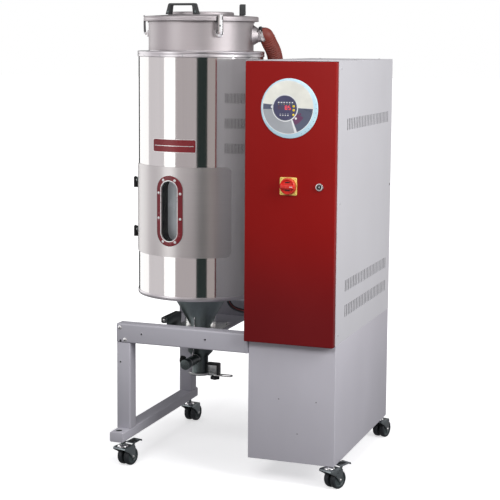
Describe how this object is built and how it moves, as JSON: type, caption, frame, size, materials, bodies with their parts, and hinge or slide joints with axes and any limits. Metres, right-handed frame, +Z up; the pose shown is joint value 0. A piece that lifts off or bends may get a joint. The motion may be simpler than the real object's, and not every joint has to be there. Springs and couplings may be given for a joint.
{
  "type": "mobile dehumidifying dryer for plastic granulate",
  "caption": "Insulated drying hopper on a wheeled tube frame beside a dryer cabinet with a hinged red control door, slide gate and drain outlet.",
  "frame": {"origin": "on the floor under the middle of the bounding box", "axes": "+Z up, -Y is the front with the control door, +X towards the cabinet side"},
  "size_m": [0.9735, 0.884, 1.8218],
  "materials": {
    "frame_grey": "satin grey powder coat",
    "body_grey": "light grey fine-textured powder coat",
    "door_red": "deep red satin powder coat",
    "polished_steel": "polished stainless sheet",
    "satin_steel": "satin stainless steel",
    "dark_steel": "dark grey-green steel",
    "chrome": "bright plated steel",
    "black_plastic": "moulded black plastic",
    "black_rubber": "black tread rubber",
    "red_trim": "red window frame",
    "window_glass": "clear sight glass",
    "display_film": "printed control film",
    "yellow_plate": "yellow plastic",
    "switch_red": "signal red plastic",
    "hose_red": "red-brown silicone hose",
    "aluminium": "cast",
    "zinc_plate": "zinc-plated sheet"
  },
  "bodies": {
    "stand": {"beam_front": "frame_grey", "beam_rear": "frame_grey", "post_front_left": "frame_grey", "post_rear_left": "frame_grey", "foot_beam_left": "frame_grey", "hopper_carrier": "frame_grey", "base_cabinet": "body_grey", "cabinet_body": "body_grey", "side_panel": "body_grey", "component_plate": "zinc_plate", "controller_unit": "black_plastic", "desiccant_canister_1": "satin_steel", "desiccant_canister_2": "satin_steel", "process_blower": "aluminium", "hopper_vessel": "satin_steel", "hopper_cone": "satin_steel", "insulation_jacket": "polished_steel", "door_neck": "satin_steel", "hopper_top_ring": "satin_steel", "air_diffuser": "satin_steel", "hinge_block_upper": "dark_steel", "hinge_block_lower": "dark_steel", "gate_housing": "dark_steel", "outlet_pipe": "dark_steel", "suction_filter": "dark_steel", "return_hose": "hose_red", "return_elbow": "satin_steel", "supply_line": "hose_red"},
    "door": {"control_door": "door_red", "display_panel": "display_film", "switch_plate": "yellow_plate"},
    "upper_button": {"button_1": "yellow_plate"},
    "middle_button": {"button_2": "yellow_plate"},
    "lower_button": {"button_3": "yellow_plate"},
    "main_switch": {"switch_knob": "switch_red"},
    "door_lock": {"lock_cylinder": "chrome"},
    "clean_out_door": {"cleaning_door": "satin_steel", "window_frame": "red_trim", "window_glass": "window_glass"},
    "lid": {"hopper_lid": "satin_steel", "lid_handle_front": "black_plastic", "lid_handle_rear": "black_plastic"},
    "latch_front": {"lid_latch_front": "chrome"},
    "latch_left": {"lid_latch_left": "chrome"},
    "latch_rear": {"lid_latch_rear": "chrome"},
    "gate": {"gate_slide": "zinc_plate", "gate_grip": "black_plastic"},
    "flap": {"drain_flap": "dark_steel"},
    "flap_knob": {"star_knob": "black_plastic"},
    "regulator": {"air_regulator_knob": "black_plastic"},
    "caster_front_left": {"caster_fork_front_left": "chrome"},
    "wheels_front_left": {"caster_wheels_front_left": "black_rubber"},
    "pedal_front_left": {"caster_pedal_front_left": "chrome"},
    "caster_front_right": {"caster_fork_front_right": "chrome"},
    "wheels_front_right": {"caster_wheels_front_right": "black_rubber"},
    "pedal_front_right": {"caster_pedal_front_right": "chrome"},
    "caster_rear_left": {"caster_fork_rear_left": "chrome"},
    "wheels_rear_left": {"caster_wheels_rear_left": "black_rubber"},
    "caster_rear_right": {"caster_fork_rear_right": "chrome"},
    "wheels_rear_right": {"caster_wheels_rear_right": "black_rubber"}
  },
  "joints": [
    {"name": "control_door_hinge", "type": "hinge", "parent": "stand", "child": "door", "pos_m": [0.09425, -0.3775, 0.5515], "axis": [0, 0, -1], "range_deg": [0, 90]},
    {"name": "main_switch_turn", "type": "hinge", "parent": "door", "child": "main_switch", "pos_m": [0.26675, -0.4048, 1.147], "axis": [0, 1, 0], "range_deg": [0, 90]},
    {"name": "door_lock_turn", "type": "hinge", "parent": "door", "child": "door_lock", "pos_m": [0.38575, -0.4048, 1.148], "axis": [0, 1, 0], "range_deg": [0, 90]},
    {"name": "upper_button_press", "type": "slide", "parent": "door", "child": "upper_button", "axis": [0, 1, 0], "range_m": [0, 0.0012], "stiffness_N_per_m": 400},
    {"name": "middle_button_press", "type": "slide", "parent": "door", "child": "middle_button", "axis": [0, 1, 0], "range_m": [0, 0.0012], "stiffness_N_per_m": 400},
    {"name": "lower_button_press", "type": "slide", "parent": "door", "child": "lower_button", "axis": [0, 1, 0], "range_m": [0, 0.0012], "stiffness_N_per_m": 400},
    {"name": "clean_out_door_hinge", "type": "hinge", "parent": "stand", "child": "clean_out_door", "pos_m": [-0.47788, -0.12876, 0.833], "axis": [0, 0, -1], "range_deg": [0, 110]},
    {"name": "lid_lift", "type": "slide", "parent": "stand", "child": "lid", "axis": [0, 0, 1], "range_m": [0, 0.25]},
    {"name": "latch_front_turn", "type": "hinge", "parent": "stand", "child": "latch_front", "pos_m": [-0.08685, -0.20528, 1.705], "axis": [0.766, 0.6428, 0], "range_deg": [0, 100]},
    {"name": "latch_left_turn", "type": "hinge", "parent": "stand", "child": "latch_left", "pos_m": [-0.45501, -0.07128, 1.705], "axis": [0.1736, -0.9848, 0], "range_deg": [0, 100]},
    {"name": "latch_rear_turn", "type": "hinge", "parent": "stand", "child": "latch_rear", "pos_m": [-0.15489, 0.18056, 1.705], "axis": [-0.9397, 0.342, 0], "range_deg": [0, 100]},
    {"name": "gate_pull", "type": "slide", "parent": "stand", "child": "gate", "axis": [-1, 0, 0], "range_m": [0, 0.095]},
    {"name": "flap_swing", "type": "hinge", "parent": "stand", "child": "flap", "pos_m": [-0.16685, -0.032, 0.312], "axis": [0, 0, 1], "range_deg": [0, 90]},
    {"name": "flap_knob_turn", "type": "hinge", "parent": "stand", "child": "flap_knob", "pos_m": [-0.16685, -0.032, 0.295], "axis": [0, 0, 1], "continuous": true},
    {"name": "regulator_turn", "type": "hinge", "parent": "stand", "child": "regulator", "pos_m": [-0.26555, -0.117, 0.385], "axis": [1, 0, 0], "range_deg": [0, 270]},
    {"name": "swivel_front_left", "type": "hinge", "parent": "stand", "child": "caster_front_left", "pos_m": [-0.42225, -0.377, 0.114], "axis": [0, 0, 1], "continuous": true},
    {"name": "roll_front_left", "type": "hinge", "parent": "caster_front_left", "child": "wheels_front_left", "pos_m": [-0.4156, -0.3457, 0.036], "axis": [0.9781, -0.2079, 0], "continuous": true},
    {"name": "pedal_front_left_press", "type": "hinge", "parent": "caster_front_left", "child": "pedal_front_left", "pos_m": [-0.41269, -0.33201, 0.084], "axis": [-0.9781, 0.2079, 0], "range_deg": [0, 12]},
    {"name": "swivel_front_right", "type": "hinge", "parent": "stand", "child": "caster_front_right", "pos_m": [0.42375, -0.356, 0.091], "axis": [0, 0, 1], "continuous": true},
    {"name": "roll_front_right", "type": "hinge", "parent": "caster_front_right", "child": "wheels_front_right", "pos_m": [0.43727, -0.327, 0.036], "axis": [0.9063, -0.4226, 0], "continuous": true},
    {"name": "pedal_front_right_press", "type": "hinge", "parent": "caster_front_right", "child": "pedal_front_right", "pos_m": [0.44319, -0.31431, 0.084], "axis": [-0.9063, 0.4226, 0], "range_deg": [0, 12]},
    {"name": "swivel_rear_left", "type": "hinge", "parent": "stand", "child": "caster_rear_left", "pos_m": [-0.42225, 0.313, 0.114], "axis": [0, 0, 1], "continuous": true},
    {"name": "roll_rear_left", "type": "hinge", "parent": "caster_rear_left", "child": "wheels_rear_left", "pos_m": [-0.41891, 0.34482, 0.036], "axis": [0.9945, -0.1045, 0], "continuous": true},
    {"name": "swivel_rear_right", "type": "hinge", "parent": "stand", "child": "caster_rear_right", "pos_m": [0.42375, 0.371, 0.091], "axis": [0, 0, 1], "continuous": true},
    {"name": "roll_rear_right", "type": "hinge", "parent": "caster_rear_right", "child": "wheels_rear_right", "pos_m": [0.4304, 0.4023, 0.036], "axis": [0.9781, -0.2079, 0], "continuous": true}
  ]
}
